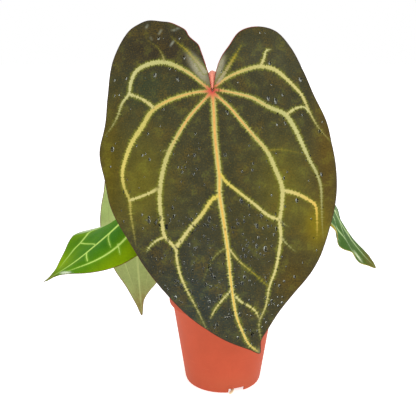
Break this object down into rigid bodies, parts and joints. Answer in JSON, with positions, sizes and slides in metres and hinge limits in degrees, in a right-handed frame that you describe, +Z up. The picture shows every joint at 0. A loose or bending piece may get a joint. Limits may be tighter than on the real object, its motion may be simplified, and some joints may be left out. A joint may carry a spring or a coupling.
{
  "type": "potted anthurium hybrid",
  "caption": "Velvet-leaved anthurium with heart-shaped, pale-veined blades on arched petioles, standing in a tapered nursery pot of bark mix.",
  "frame": {"origin": "below the middle of the whole plant, on the surface the pot stands on; the pot's own axis is at x 5.6 mm, y -26.1 mm", "axes": "+Z up; the largest leaf faces -Y, and +X is to the right as it is seen from the front"},
  "size_m": [0.3264, 0.2018, 0.3426],
  "materials": {
    "pot_plastic": "satin",
    "bark_mix": "matte",
    "stem_bark": "matte",
    "pale_root": "matte",
    "dry_sheath": "matte",
    "salmon_petiole": "satin",
    "green_petiole": "satin",
    "velvet_blade": "matte",
    "young_blade": "satin",
    "grey_green_blade": "satin",
    "olive_blade": "satin"
  },
  "bodies": {
    "root": {"pot": "pot_plastic", "potting_mix": "bark_mix", "stem": "stem_bark", "root_tip": "pale_root", "cataphyll_1": "dry_sheath", "cataphyll_2": "dry_sheath", "petiole_main": "salmon_petiole", "petiole_left": "green_petiole", "petiole_right": "green_petiole", "petiole_back": "green_petiole", "blade_main": "velvet_blade", "blade_left": "young_blade", "blade_right": "grey_green_blade", "blade_back": "olive_blade"}
  },
  "joints": []
}
